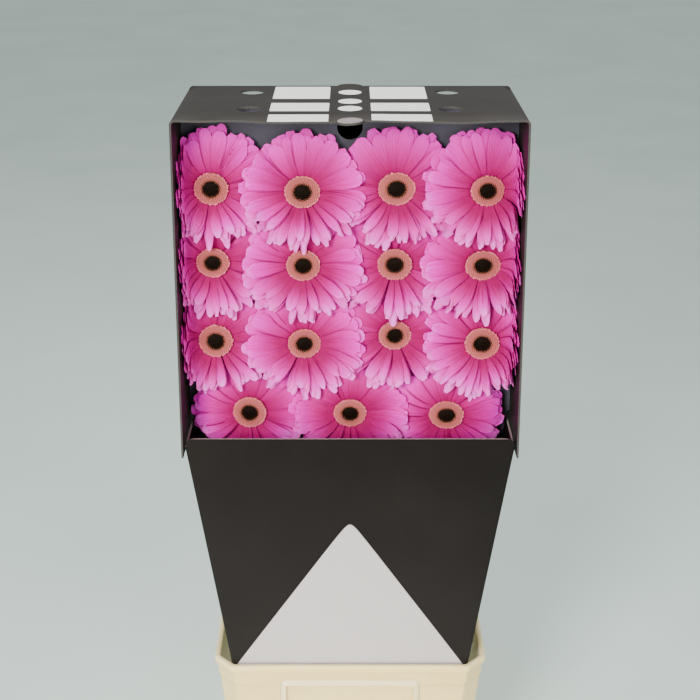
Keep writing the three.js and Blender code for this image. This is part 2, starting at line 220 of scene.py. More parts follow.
def split(place):
    """A place's three coordinates."""
    node = put_node(tree_of(place), "ShaderNodeSeparateXYZ", {0: place})
    return [Field(socket) for socket in node.outputs]


def layer_pair(tree, layer):
    """The two values that a UV layer holds."""
    return split(Field(put_node(tree, "ShaderNodeUVMap", uv_map=layer).outputs[0]))[:2]


def new_group(name, inputs, outputs):
    """A shader node group with named sockets; gives the group, its inputs as fields and its output node."""
    group = bpy.data.node_groups.new(name, "ShaderNodeTree")
    for side, sockets in (("INPUT", inputs), ("OUTPUT", outputs)):
        for label, kind in sockets.items():
            group.interface.new_socket(name=label, in_out=side, socket_type=f"NodeSocket{kind}")
    given = group.nodes.new("NodeGroupInput").outputs
    return group, [Field(given[label]) for label in inputs], group.nodes.new("NodeGroupOutput")


def placed(group, inputs):
    """The outputs of a node group placed in the tree of its inputs."""
    node = put_node(tree_of(*inputs.values()), "ShaderNodeGroup", inputs, node_tree=group)
    return [Field(socket) for socket in node.outputs]


def new_finish(name, plain):
    """A material with a Principled shader, whose constant values are set on the shader's own sockets."""
    material = bpy.data.materials.new(name)
    material.use_nodes = True
    shader = material.node_tree.nodes["Principled BSDF"]
    feed(shader, plain)
    return material, material.node_tree, shader


# Handling marks, shared by the plastic and the card: cloudy smudges, thin scratches and a fine grain.
handling_marks, (place, scale), marks_out = new_group(
    "handling_marks", {"Place": "Vector", "Scale": "Float"},
    dict.fromkeys(["Smudge", "Scratch", "Grain"], "Float"))
stretched = Field(put_node(handling_marks, "ShaderNodeMapping", {
    "Vector": place, "Rotation": (0.3, 0.4, 0.5), "Scale": (8, 0.6, 1.1)}).outputs[0])
scratch = ((noise(stretched, 70.0, 5.0, 0.7) - 0.62) * 5.0).clamped()
feed(marks_out, {"Smudge": noise(place, scale, 4.0), "Scratch": scratch, "Grain": noise(place, 900.0)})

cream_plastic, tree, shader = new_finish("cream_bucket_plastic", {
    "Coat Weight": 0.5, "Coat Roughness": 0.08, "Subsurface Weight": 0.5, "Subsurface Scale": 0.01,
    "Subsurface Radius": (1.0, 0.9, 0.75)})
smudge, scratch, grain = placed(handling_marks, {"Place": object_place(tree), "Scale": BUCKET_SMUDGES})
painted_shade, painted_highlight = layer_pair(tree, "Tint")
cream = ramp(smudge, (0.3, (0.97, 0.62, 0.23)), (0.7, (0.99, 0.66, 0.27)))
cream = blend(scratch * 0.12, cream, (0.95, 0.9, 0.7))
# Painted shade: a dark brown round the foot of the label frame.
cream = blend(painted_shade * 0.85, cream, (0.2, 0.12, 0.055))
# Painted highlight: a paler cream on the rim's top and on the frame's upper slope.
cream = blend(painted_highlight * 0.6, cream, (1.0, 0.8, 0.46))
feed(shader, {"Base Color": cream, "Roughness": smudge * 0.2 + 0.25 + scratch * 0.15,
              "Normal": bump(grain, 0.08, 0.0004)})

bare_inside, tree, shader = new_finish("bucket_bare_inside", {
    "Roughness": 0.5, "Subsurface Weight": 0.6, "Subsurface Scale": 0.02,
    "Subsurface Radius": (1.0, 0.9, 0.7)})
smudge = placed(handling_marks, {"Place": object_place(tree), "Scale": BUCKET_SMUDGES})[0]
feed(shader, {"Base Color": ramp(smudge, (0.3, (0.95, 0.78, 0.54)), (0.7, (0.99, 0.84, 0.6)))})


def bucket_half(z):
    """The bucket's half width and half depth at heights, along the straight line from foot to top."""
    return BUCKET_FOOT + (BUCKET_TOP - BUCKET_FOOT) * np.asarray(z)[..., None] / BUCKET_HEIGHT


def chamfered_ring(half, chamfer, rounding=5.0, arc=5, along=9):
    """Points round a rectangle with cut corners. Each of its eight corners is an arc that touches both
    sides, and each side is shared out evenly between the arcs."""
    x, y = half
    corners = np.array([[x, -y + chamfer], [x, y - chamfer], [x - chamfer, y], [-x + chamfer, y],
                        [-x, y - chamfer], [-x, -y + chamfer], [-x + chamfer, -y], [x - chamfer, -y]])
    before = unit(np.roll(corners, 1, axis=0) - corners)
    after = unit(np.roll(corners, -1, axis=0) - corners)
    reach = rounding * tan(pi / 8)
    t = np.linspace(0, 1, arc)[None, :, None]
    bend = ((1 - t) ** 2 * (corners + before * reach)[:, None] + 2 * t * (1 - t) * corners[:, None]
            + t ** 2 * (corners + after * reach)[:, None])
    last, first = bend[:, -1:], np.roll(bend[:, :1], -1, axis=0)
    s = np.linspace(0, 1, along + 2)[None, 1:-1, None]
    return np.concatenate([bend, last + (first - last) * s], axis=1).reshape(-1, 2)


# Rings from the middle of the underside, up the outside, over the rim and down to the middle of the floor:
# height, how far inside the wall's outer face, and how much of the ring is left towards the middle.
BUCKET_RINGS = [
    (1.6, 12, 0.02), (1.6, 12, 0.5), (1.6, 12, 1), (1.2, 9, 1), (0.2, 8, 1), (0, 6.5, 1), (0, 2.2, 1),
    (0.6, 0.7, 1), (2.2, 0, 1), (30, 0, 1), (60, 0, 1), (90, 0, 1), (120, 0, 1), (150, 0, 1), (160, 0, 1),
    (161, -0.7, 1), (162.5, -0.9, 1), (175.6, -0.9, 1), (176.6, -1.4, 1), (176.9, -2.3, 1),
    (177.3, -2.8, 1), (178.4, -3, 1), (183, -3, 1), (184.4, -2.5, 1), (185, -1.2, 1), (185, 1.6, 1),
    (184.5, 2.7, 1), (183, 3, 1), (150, 3, 1), (110, 3, 1), (70, 3, 1), (30, 3, 1), (9, 3.2, 1),
    (5.8, 4.6, 1), (4.2, 8, 1), (4, 13, 1), (4, 13, 0.5), (4, 13, 0.02)]
RIM_RING = 26
rings = []
for z, inset, share in BUCKET_RINGS:
    ring = chamfered_ring(bucket_half(z) - inset, BUCKET_CHAMFER - inset * CHAMFER_LOSS) * share
    rings.append(np.column_stack([ring, np.full(len(ring), z)]))
shell = np.array(rings)
rows, columns = shell.shape[:2]
faces = tube_faces(rows, columns)
inside = np.arange(len(faces[0])) // columns >= RIM_RING
# The rim's top gets the painted highlight.
painted_highlight = ((shell[..., 2] > HIGHLIGHT_ABOVE) & (np.arange(rows)[:, None] <= RIM_RING)).ravel()
add_piece("bucket_shell", shell, faces, [cream_plastic, bare_inside], ["bucket"],
          tint=corner_pairs(np.zeros(painted_highlight.size), painted_highlight, faces), kinds=[inside, [0, 1]])

# The label frame's section: how far outwards from the middle of its bar, and how proud of the wall.
FRAME_SECTION = np.array([(-3.5, -1), (-3.5, 2.2), (-3.3, 3.1), (-2.6, 3.6), (-1.8, 3.5), (0.2, 2.4),
                          (2.0, 1.3), (3.5, 0.3), (3.5, -1)])
# At each point of the section: the strength of the painted shade at the frame's foot, then of the painted
# highlight on its upper slope.
FRAME_PAINTED_SHADE = [1, 0.5, 0, 0, 0, 0, 0, 0.7, 1]
FRAME_PAINTED_HIGHLIGHT = [0, 0, 0.3, 0.6, 1, 1, 1, 0.2, 0]
FRAME_CORNER_POWER = 0.07


def framed_bar(half, low, high, steps):
    """A closed rectangular frame. Its long path is a circle's cosine and sine raised to a small power,
    which makes a rectangle with rounded corners, and its section slopes up from the outer edge to a ridge
    by the inner edge."""
    t = np.linspace(0, 2 * pi, steps, endpoint=False)
    turn = np.column_stack([np.cos(t), np.sin(t)])
    reach = np.array([half, (high - low) / 2]) - LABEL_BAR / 2
    middle = [0, (high + low) / 2] + reach * np.sign(turn) * np.abs(turn) ** FRAME_CORNER_POWER
    along = unit(np.roll(middle, -1, axis=0) - np.roll(middle, 1, axis=0))
    outward = along[:, ::-1] * [1, -1]
    return middle + outward * FRAME_SECTION[:, :1, None]


bar = framed_bar(LABEL_HALF, LABEL_TOP - LABEL_HEIGHT, LABEL_TOP, LABEL_STEPS)
x, z = bar[..., 0], bar[..., 1]
wall_y = -bucket_half(z)[..., 1]
faces = [grid_quads(len(FRAME_SECTION) + 1, LABEL_STEPS, closed=True) % z.size]
# The section's painted shade and painted highlight, for every step round the frame.
painted_shade, painted_highlight = (np.repeat(values, LABEL_STEPS) for values in (FRAME_PAINTED_SHADE, FRAME_PAINTED_HIGHLIGHT))
points = np.stack([x, wall_y - FRAME_SECTION[:, 1:], z], axis=-1)
add_piece("bucket_label_frame", points, faces, [cream_plastic], ["bucket"],
          tint=corner_pairs(painted_shade, painted_highlight, faces))


# Water
# Clear water with a little cut-flower food in it, which the stems stand in.
# The solid keeps its place, and gets the gloss and the slow ripple of standing water.

clear_water, tree, shader = new_finish("bucket_water", {
    "Roughness": 0.03, "IOR": 1.33, "Transmission Weight": 0.9})
swell = noise(object_place(tree), 26.0)
feed(shader, {"Base Color": ramp(swell, (0.3, (0.66, 0.76, 0.7)), (0.7, (0.78, 0.86, 0.8))),
              "Normal": bump(swell, 0.15, 0.001)})
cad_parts["water"].material_slots[0].material = clear_water


# Card
# The hopper, head panel and hood are die-cut from corrugated card, 2 mm thick. Its printed liners are satin
# black, with faint flutes showing through. Its cut edges are dark, but bare and pale on the hopper.

CARD = 2.0
FIT = 0.3
FLUTE_PITCH = 0.0075
ROOF_TOP, HOOD_HEIGHT = 773.0, 345.0
HOOD_HALF_TOP, HOOD_HALF_LOW = 166.0, 169.5
FRONT, BACK = -80.0, 82.0
HOPPER_TOP, HOPPER_END, HOPPER_HALF_AT_RIM, HOPPER_CORNER = 449.0, 116.0, 127.0, 9.0
TRIANGLE_POINT, TRIANGLE_SLOPE, TRIANGLE_ROUNDING, TRIANGLE_FRONT = 0.3592, 0.117 / 0.172, 0.0045, -0.0775
LIGHT_FROM_BELOW_TOP = 0.42


def hood_half(z):
    """The hood's outer half width at a height, straight from the roof to the lower edge."""
    return HOOD_HALF_TOP + (HOOD_HALF_LOW - HOOD_HALF_TOP) * (ROOF_TOP - z) / HOOD_HEIGHT


def hopper_half(z):
    """The hopper's outer half width at a height, straight from its top to the bucket's rim and on below."""
    top = hood_half(HOPPER_TOP) - CARD - FIT
    return top + (HOPPER_HALF_AT_RIM - top) * (HOPPER_TOP - z) / (HOPPER_TOP - BUCKET_HEIGHT)


# Printed card: flutes run across the given value, and the ink is a little worn and mottled.
printed_card, (place, across, ink), card_out = new_group(
    "printed_card", {"Place": "Vector", "Across": "Float", "Ink": "Color"},
    {"Color": "Color", "Roughness": "Float", "Height": "Float"})
smudge, scratch, grain = placed(handling_marks, {"Place": place, "Scale": 9.0})
flute = math_node("SINE", across * (2 * pi / FLUTE_PITCH))
worn = blend(smudge ** 3.0, ink, (0.02, 0.016, 0.0135))
worn = blend(scratch * 0.14, worn, (0.09, 0.08, 0.07))
feed(card_out, {"Color": worn, "Roughness": smudge * 0.22 + 0.36 + flute * 0.012,
                "Height": flute * 0.12 + grain * 0.25 + smudge * 5.0})

# A bare patch: 1 inside a rounded rectangle with the given middle, half sizes and corner radius.
bare_patch, (x, y, middle_x, middle_y, half_x, half_y, corner), patch_out = new_group(
    "printed_patch",
    dict.fromkeys(["X", "Y", "Middle X", "Middle Y", "Half X", "Half Y", "Corner"], "Float"),
    {"Mask": "Float"})
past_x = math_node("MAXIMUM", abs(x - middle_x) - half_x + corner, 0.0)
past_y = math_node("MAXIMUM", abs(y - middle_y) - half_y + corner, 0.0)
outside = math_node("SQRT", past_x ** 2.0 + past_y ** 2.0) - corner
feed(patch_out, {"Mask": ((0.0002 - outside) * 2500.0).clamped()})


def card_finish(name, ink, across, patches=()):
    """A printed card's material. Its flutes run across the sum of the named coordinates, and each patch is
    a mask made from the place, with the colour that it has there."""
    material, tree, shader = new_finish(name, {"Specular IOR Level": 0.08})
    place = object_place(tree)
    parts = split(place)
    first, *rest = (parts[axis] for axis in across)
    marks = {"Place": place, "Across": sum(rest, first), "Ink": ink}
    colour, roughness, height = placed(printed_card, marks)
    for mask, paint in patches:
        colour = blend(mask(place), colour, paint)
    feed(shader, {"Base Color": colour, "Roughness": roughness, "Normal": bump(height, 0.12, 0.0008)})
    return material


def edge_finish(name, hollow, paper, liner):
    """A cut edge: the sine wave of the fluting between two thin liners, in a colour for each."""
    material, tree, shader = new_finish(name, {"Roughness": 0.85})
    along, through = layer_pair(tree, "UVMap")
    wave = math_node("SINE", along * (2 * pi / FLUTE_PITCH)) * 0.3 + 0.5
    core = blend(abs(through - wave) < 0.14, hollow, paper)
    feed(shader, {"Base Color": blend(abs(through - 0.5) > 0.4, core, liner)})
    return material


cut_edge = edge_finish("card_cut_edge", (0.034, 0.028, 0.025), (0.052, 0.045, 0.038), (0.042, 0.037, 0.034))
pale_edge = edge_finish("card_pale_edge", (0.2, 0.16, 0.14), (0.5, 0.4, 0.36), (0.4, 0.31, 0.28))


def hopper_triangle(place):
    """The front's bare triangle, under two slanting lines that meet in a rounded point."""
    x, y, z = split(place)
    bent = math_node("SQRT", x ** 2.0 + TRIANGLE_ROUNDING ** 2)
    under = (TRIANGLE_POINT - z) * TRIANGLE_SLOPE - bent
    return ((under + 0.0003) * 1600.0).clamped() * (y < TRIANGLE_FRONT)


def hopper_light_from_below(place):
    """Painted light from below, which makes the tray paler more and more towards the bucket."""
    return ((LIGHT_FROM_BELOW_TOP - split(place)[2]) * 4.3).clamped() * 0.6


hopper_card = card_finish("hopper_printed_card", (0.006, 0.0044, 0.0038), (0, 1),
                          [(hopper_light_from_below, (0.018, 0.0155, 0.014)), (hopper_triangle, (0.46, 0.41, 0.39))])


# Hopper
# One tapered tray of card, folded at four upright corners and glued at the back. Its sides lean in to the
# bucket, and its top corners are rounded. The front is bowed forward a little by what it holds.

HOPPER_Y = 79.7
FOLD, SHARPEST_FOLD = 2.6, 0.3
BOW, BOW_FROM, BOW_SPAN = 1.6, 190.0, 262.0


def length_along(line):
    """How far along a line each of its points lies: the lengths of the steps before it, added up."""
    return np.concatenate([[0], np.cumsum(np.linalg.norm(np.diff(line, axis=0), axis=1))])


def hopper_point(s, t, inset):
    """A place on the hopper: s runs from 0 to 4 over front, right, back and left, and t from the lower end
    to the top edge. Each corner's fold is an arc, the top edge rounds down to each corner by a quarter
    circle, and the front bows out by a parabola across and a sine up."""
    side = np.floor(s).astype(int) % 4
    part = (s - np.floor(s)) * 2 - 1
    wide = side % 2 == 0
    z = HOPPER_END + (HOPPER_TOP - HOPPER_END) * t
    for _ in range(2):
        long = np.where(wide, hopper_half(z), HOPPER_Y)
        off = np.clip(np.abs(part) * long - (long - HOPPER_CORNER), 0, HOPPER_CORNER)
        drop = np.where(wide, HOPPER_CORNER - np.sqrt(HOPPER_CORNER ** 2 - off ** 2), HOPPER_CORNER)
        z = HOPPER_END + (HOPPER_TOP - drop - HOPPER_END) * t
    half, depth = hopper_half(z) - inset, HOPPER_Y - inset
    fold = max(FOLD - inset, SHARPEST_FOLD)
    reach = np.where(wide, half, depth)
    across = part * reach
    over = np.maximum(np.abs(across) - (reach - fold), 0)
    angle = np.clip(over / fold, 0, 1) * pi / 4
    across = np.where(over > 0, np.sign(across) * (reach - fold + fold * np.sin(angle)), across)
    out = np.where(wide, depth, half) - fold * (1 - np.cos(angle))
    rise = np.sin(pi * np.clip((z - BOW_FROM) / BOW_SPAN, 0, 1))
    bow = BOW * np.clip(1 - (across / half) ** 2, 0, 1) * rise * (side == 0)
    turn = side * pi / 2
    return np.stack([across * np.cos(turn) + out * np.sin(turn),
                     across * np.sin(turn) - out * np.cos(turn) - bow, z], axis=-1)


by_corner = np.array([0.004, 0.008, 0.014, 0.025, 0.04])
side_steps = np.concatenate([[0], by_corner, np.linspace(0.06, 0.94, 23), 1 - by_corner[::-1]])
s, t = np.meshgrid((side_steps + np.arange(4)[:, None]).ravel(),
                   np.concatenate([np.linspace(0, 0.93, 24), [0.96, 0.985, 1.0]]))
outer, inner = hopper_point(s, t, 0.0), hopper_point(s, t, CARD)
rows, columns = s.shape
# The inner face's rows follow the outer one's, downwards, so two rows of quads are the cut edges.
faces = grid_quads(2 * rows + 1, columns, closed=True) % (2 * s.size)
on_edge = np.isin(np.arange(len(faces)) // columns, [rows - 1, 2 * rows - 1])
run = length_along(np.concatenate([outer[-1], outer[-1, :1]])) * MM
corner_run = np.tile(np.column_stack([run[:-1], run[1:], run[1:], run[:-1]]), (2 * rows, 1))
edge_uv = np.stack([corner_run, faces // columns >= rows], axis=-1) * on_edge[:, None, None]
add_piece("hopper_tray", np.concatenate([outer, inner[::-1]]), [faces], [hopper_card, pale_edge],
          ["hopper"], uv=[edge_uv], kinds=[on_edge], crease=50)


# Blooms' places
# The fifteen blooms stand in rows of four, four, four and three. The lowest row is laid in first, and in a
# row every other bloom first, so that petals lie over those that were laid in before.

ROWS = [(((-134, 696), (-46, 693), (45, 696), (133, 694)), 64.0),
        (((-135, 621), (-46, 618), (44, 619), (131, 618)), 48.0),
        (((-135, 538), (-46, 535), (45, 544), (133, 535)), 32.0),
        (((-103, 459), (0, 458), (99, 456)), 16.0)]
BLOOM_Y, BLOOM_RADIUS, RADIUS_SPREAD, TILT = -36.0, 61.5, 1.2, radians(6)
SOLID_PETALS = 11
PANEL_FRONT = -12.0
WALL_GAP, WALL_BEND_START, WALL_BEND_SPARE = 2.5, 18.0, 1.0
DRAW_STEP, DRAW_PRIME = 16807, 2147483647

drawn = 2024


def draw():
    """The next repeatable number from -1 to 1: the last one times a step, modulo a prime."""
    global drawn
    drawn = drawn * DRAW_STEP % DRAW_PRIME
    return drawn / DRAW_PRIME * 2 - 1


blooms = []
for r in (3, 2, 1, 0):
    places, lane = ROWS[r]
    for c in sorted(range(len(places)), key=lambda place: (place % 2, place)):
        x, z = places[c]
        room = hood_half(z) - CARD - WALL_GAP - abs(x)
        blooms.append({"name": f"{r + 1}{c + 1}", "x": x, "z": z, "lane": lane,
                       "radius": BLOOM_RADIUS + RADIUS_SPREAD * draw(), "spin": draw() * pi / SOLID_PETALS,
                       "wall": np.sign(x) if room < BLOOM_RADIUS else 0,
                       "bend": room - WALL_BEND_START - WALL_BEND_SPARE})


# Head panel
# A flat die-cut panel of the same card, printed grey-black and wedged behind the blooms. Its ink is made
# lighter and purplish, as painted light from the blooms. It has a hole for each stem and a thumb hole near
# its top, and its shoulders rest on the hopper's top edges.

OUTLINE_STEP = 9
PANEL_END, PANEL_ROUNDING = 392.0, 5.0
STEM_HOLE, THUMB_HOLE, THUMB_DROP = 8.0, 12.5, 22.0


def card_sheet(name, outline, holes, place, spacing, finish, stands_for, crease=50):
    """A sheet of card from its flat outline and its holes. The flat face is filled with triangles on a grid
    of the given spacing, place() bends it into shape for each of the two faces, and strips along every cut
    close it."""
    loops = [np.asarray(loop, float) for loop in [outline, *holes]]
    starts = np.concatenate(loops)
    ends = np.concatenate([np.roll(loop, -1, axis=0) for loop in loops])

    def on_card(p):
        """Whether places lie on the card: a level line from one meets the cuts an odd number of times."""
        x, y = p[:, :1], p[:, 1:]
        crosses = (starts[:, 1] > y) != (ends[:, 1] > y)
        rise = np.where(ends[:, 1] == starts[:, 1], 1, ends[:, 1] - starts[:, 1])
        at = (ends[:, 0] - starts[:, 0]) * (y - starts[:, 1]) / rise + starts[:, 0]
        return (crosses & (x < at)).sum(axis=1) % 2 == 1

    low, high = loops[0].min(axis=0), loops[0].max(axis=0)
    axes = [np.linspace(low[k], high[k], int((high[k] - low[k]) / spacing) + 2)[1:-1] for k in (0, 1)]
    grid = np.stack(np.meshgrid(*axes), axis=-1).reshape(-1, 2)
    clear = np.linalg.norm(grid[:, None] - starts, axis=2).min(axis=1) > spacing * 0.35
    flat = np.concatenate([starts, grid[on_card(grid) & clear]])
    edges, first = [], 0
    for loop in loops:
        edges += [(first + k, first + (k + 1) % len(loop)) for k in range(len(loop))]
        first += len(loop)
    points, _, tris = delaunay_2d_cdt([Vector(p) for p in flat], edges, [], 0, 1e-6)[:3]
    flat = np.array([tuple(p) for p in points])
    tris = np.array(tris)
    tris = tris[on_card(flat[tris].mean(axis=1))]
    sides = np.concatenate([tris[:, [0, 1]], tris[:, [1, 2]], tris[:, [2, 0]]])
    _, first, times = np.unique(np.sort(sides, axis=1), axis=0, return_index=True, return_counts=True)
    cut = sides[first[times == 1]]
    ends = flat[cut] * MM
    size = np.abs(ends[:, 1] - ends[:, 0])
    run = np.where(size[:, :1] > size[:, 1:], ends[..., 0], ends[..., 1])[:, [1, 0, 0, 1]]
    strip_uv = np.stack([run, np.broadcast_to([0, 0, 1, 1], run.shape)], axis=-1)
    faces = [tris, tris[:, ::-1] + len(flat), np.column_stack([cut[:, ::-1], cut + len(flat)])]
    both = np.concatenate([place(flat[:, 0], flat[:, 1], height) for height in (CARD / 2, -CARD / 2)])
    add_piece(name, both, faces, [finish, cut_edge], stands_for,
              uv=[flat[tris] * MM, flat[tris[:, ::-1]] * MM, strip_uv],
              kinds=[np.zeros(2 * len(tris)), np.ones(len(cut))], crease=crease)


def upright_card(y, facing):
    """Places a flat upright sheet with its middle at y. Its first face looks back, or forward for -1."""
    return lambda x, z, h: np.stack(np.broadcast_arrays(x, y + facing * h, z), axis=-1)


def circle(x, y, radius, steps=40):
    """Points round a circle, from its cosine and sine."""
    t = np.linspace(0, 2 * pi, steps, endpoint=False)
    return np.column_stack([x + radius * np.cos(t), y + radius * np.sin(t)])


def mirrored_outline(right):
    """A closed outline from its right half, with points added along its sides about a step apart."""
    corners = np.array(right + [(-x, z) for x, z in right[::-1]], float)
    sides = []
    for a, b in zip(corners, np.roll(corners, -1, axis=0)):
        count = max(int(np.linalg.norm(b - a) / OUTLINE_STEP), 1)
        sides.append(a + (b - a) * np.linspace(0, 1, count, endpoint=False)[:, None])
    return np.concatenate(sides)


shoulder, panel_top = HOPPER_TOP + FIT, ROOF_TOP - CARD - FIT
in_hopper = [hopper_half(z) - CARD - FIT for z in (PANEL_END, shoulder)]
in_hood = [hood_half(z) - CARD - FIT for z in (shoulder, panel_top - PANEL_ROUNDING, panel_top)]
panel_outline = mirrored_outline([
    (in_hopper[0], PANEL_END), (in_hopper[1], shoulder), (in_hood[0], shoulder),
    (in_hood[1], panel_top - PANEL_ROUNDING), (in_hood[2] - 1.5, panel_top - 1.5),
    (in_hood[2] - PANEL_ROUNDING, panel_top)])
stem_drop = (PANEL_FRONT + CARD / 2 - BLOOM_Y) * tan(TILT)
panel_holes = [circle(bloom["x"], bloom["z"] - stem_drop, STEM_HOLE, 24) for bloom in blooms]
panel_holes.append(circle(0, ROOF_TOP - THUMB_DROP, THUMB_HOLE))
# Painted light: the panel's ink is lighter than the other card's, and purplish from the blooms' light.
panel_card = card_finish("panel_grey_card", (0.07, 0.062, 0.08), (0,))
card_sheet("head_panel_card", panel_outline, panel_holes, upright_card(PANEL_FRONT + CARD / 2, -1),
           OUTLINE_STEP, panel_card, ["head_panel"])


# Stems
# Smooth green stems with a cup of narrow overlapping bracts under each bloom. Each one passes back through
# its hole, bends down behind the panel and runs through the hopper into the water.

STEM_BEHIND_PANEL, BEND_STEPS, STEM_CONVERGE = 2.0, 12, 0.66
ABOVE_WATER, STEM_FOOT = 120.0, 12.0
STEM_START, NECK_END = 3.5, 17.0
BRACTS, BRACT_RISE, STEM_STEPS, CUP_LENGTH, CUP_STEPS = 14, 0.05, 110, 20.0, 14
CUP_DEPTHS, CUP_RADII = [0, 1, 4, 8, 12, 15, 18], [13.2, 14.0, 13.6, 10.6, 6.2, 3.6, 2.6]
FOOT_SWELL, STEM_RIBS = 0.35, 12

stem_green, tree, shader = new_finish("stem_green", {"Subsurface Weight": 0.1, "Subsurface Scale": 0.002})
place = object_place(tree)
round_stem, along = layer_pair(tree, "UVMap")
patchy = noise(place, 60.0, 3.0)
green = ramp(patchy, (0.3, (0.15, 0.27, 0.06)), (0.7, (0.25, 0.4, 0.11)))
foot = ramp(along, (0.0, (0.16, 0.3, 0.07)), (0.8, (0.3, 0.36, 0.12)), (1.0, (0.34, 0.2, 0.13)))
ribs = math_node("SINE", round_stem * (2 * pi * STEM_RIBS))
feed(shader, {"Base Color": blend(0.35, green, foot), "Roughness": patchy * 0.2 + 0.4,
              "Normal": bump(ribs * 0.5 + noise(place, 1500.0, 1.0), 0.3, 0.0004)})

OUT = np.array([0, -cos(TILT), sin(TILT)])
UP = np.array([0, sin(TILT), cos(TILT)])
ACROSS = np.array([1.0, 0, 0])


def points_at(line, run, at):
    """A line's points at distances along it, between the points that it has."""
    return np.stack([np.interp(at, run, values) for values in line.T], axis=-1)


def stem_path(bloom):
    """The stem's middle line: straight back from the bloom, round a quarter turn to its lane behind the
    panel, down to the water with a lean towards the middle, and upright at its foot. Corners are smoothed
    by averaging."""
    x, lane = bloom["x"], bloom["lane"]
    centre = np.array([x, BLOOM_Y, bloom["z"]])
    bend_y = PANEL_FRONT + CARD + STEM_BEHIND_PANEL
    bend_z = bloom["z"] - (bend_y - BLOOM_Y) * tan(TILT)
    radius = (lane - bend_y) / (1 - sin(TILT))
    slope = np.linspace(TILT, pi / 2, BEND_STEPS)
    turn = np.column_stack([np.full(BEND_STEPS, x), bend_y + radius * (np.sin(slope) - sin(TILT)),
                            bend_z - radius * (cos(TILT) - np.cos(slope))])
    foot_x = x * STEM_CONVERGE
    line = np.concatenate([[centre - OUT * STEM_START], [centre - OUT * NECK_END], turn,
                           [[foot_x, lane, ABOVE_WATER], [foot_x, lane, STEM_FOOT]]])
    run = length_along(line)
    at = np.concatenate([np.linspace(0, CUP_LENGTH, CUP_STEPS),
                         np.linspace(CUP_LENGTH, run[-1], STEM_STEPS - CUP_STEPS + 1)[1:]])
    path = points_at(line, run, at)
    for _ in range(4):
        path[CUP_STEPS + 1:-1] = (path[CUP_STEPS:-2] + 2 * path[CUP_STEPS + 1:-1] + path[CUP_STEPS + 2:]) / 4
    return path, at


def stem_tube(path, at):
    """A closed tube round the path. Its radius widens to the cup of bracts near the bloom, where a cosine
    round the cup makes the bracts stand out as shallow scales, and is a little thicker towards the foot."""
    tangent = unit(np.gradient(path, axis=0))
    side = unit(np.cross(tangent, ACROSS))
    other = np.cross(side, tangent)
    cup = np.interp(at, CUP_DEPTHS, CUP_RADII)
    turn = np.linspace(0, 2 * pi, 2 * BRACTS, endpoint=False)
    scales = 1 + BRACT_RISE * np.cos(turn * BRACTS) * np.clip((cup[:, None] - 3) / 6, 0, 1)
    radius = (cup + FOOT_SWELL * at / at[-1])[:, None] * scales
    around = np.cos(turn)[:, None] * side[:, None] + np.sin(turn)[:, None] * other[:, None]
    return path[:, None] + radius[..., None] * around


def tube_uv(faces, rows, columns):
    """UV for a tube's faces: how far round and how far along. The last column's quads end at 1."""
    quads, caps = faces
    column = quads % columns
    column[:, 1:3] = column[:, :1] + 1
    ring = np.arange(columns) / columns
    ends = np.stack([np.broadcast_to(ring, caps.shape), np.broadcast_to([[0], [1]], caps.shape)], axis=-1)
    return [np.stack([column / columns, quads // columns / (rows - 1)], axis=-1), ends]


for bloom in blooms:
    tube = stem_tube(*stem_path(bloom))
    faces = tube_faces(*tube.shape[:2])
    add_piece(f"stem_smooth_{bloom['name']}", tube, faces, [stem_green], [f"stem_{bloom['name']}"],
              uv=tube_uv(faces, *tube.shape[:2]))


# Petals
# Each bloom has three layers of satin pink ray florets, deep magenta at the root and pale at the tip, folded
# lengthwise and notched. The upper ones are broad and flat, the lower ones narrow, curled and uneven. Their
# colour also holds painted shade under the disc and between petals, and painted light on the tips.

FLAT_RADIUS, REFLEX = 20.0, 9.0
LYING_GAP, LYING_FALL, LYING_REACH = 7.0, 0.8, 16.0
WALL_BEND_ANGLE = radians(89)

petal_pink, tree, shader = new_finish("petal_pink", {
    "Subsurface Weight": 0.2, "Subsurface Scale": 0.006, "Subsurface Radius": (1.0, 0.15, 0.5),
    "Specular IOR Level": 0.04})
across, outwards = layer_pair(tree, "UVMap")
chance, droop = layer_pair(tree, "Tint")
strand = put_node(tree, "ShaderNodeCombineXYZ", {0: across * 7.0, 1: outwards * 1.1, 2: chance * 37.0})
streak = noise(Field(strand.outputs[0]), 1.6, 4.0, 0.6)
along = outwards + (streak - 0.5) * 0.5 + (chance - 0.5) * 0.24
# Painted shade and light: the lower petals are darker at the root, under the disc, and paler at the tip; the
# upper ones less so.
along = (along - 0.5) * (droop * 0.25 + 1.0) + 0.5
pink = ramp(along, (0.16, (0.3, 0.0006, 0.07)), (0.35, (0.42, 0.0008, 0.135)), (0.54, (0.58, 0.001, 0.23)),
            (0.75, (0.8, 0.002, 0.4)), (0.92, (0.92, 0.008, 0.53)), (1.0, (0.97, 0.08, 0.65)))
at_tip = outwards ** 4.0
by_side = ((abs(across - 0.5) - 0.36) * 3.0).clamped()
pink = blend(by_side * at_tip, pink, (0.97, 0.02, 0.58))
vein = abs(math_node("SINE", across * (pi * 5))) ** 6.0
pink = blend((1.0 - vein) * 0.12, pink, (0.6, 0.003, 0.26))
# Painted light: the outer parts of the upper petals are paler, standing in for light under the roof's shadow.
pink = blend((droop * -0.18).clamped() * outwards ** 2.0, pink, (0.9, 0.14, 0.56))
# Painted highlight on the tips of the lower petals.
pink = blend((droop * 0.5).clamped() * at_tip, pink, (0.99, 0.3, 0.78))
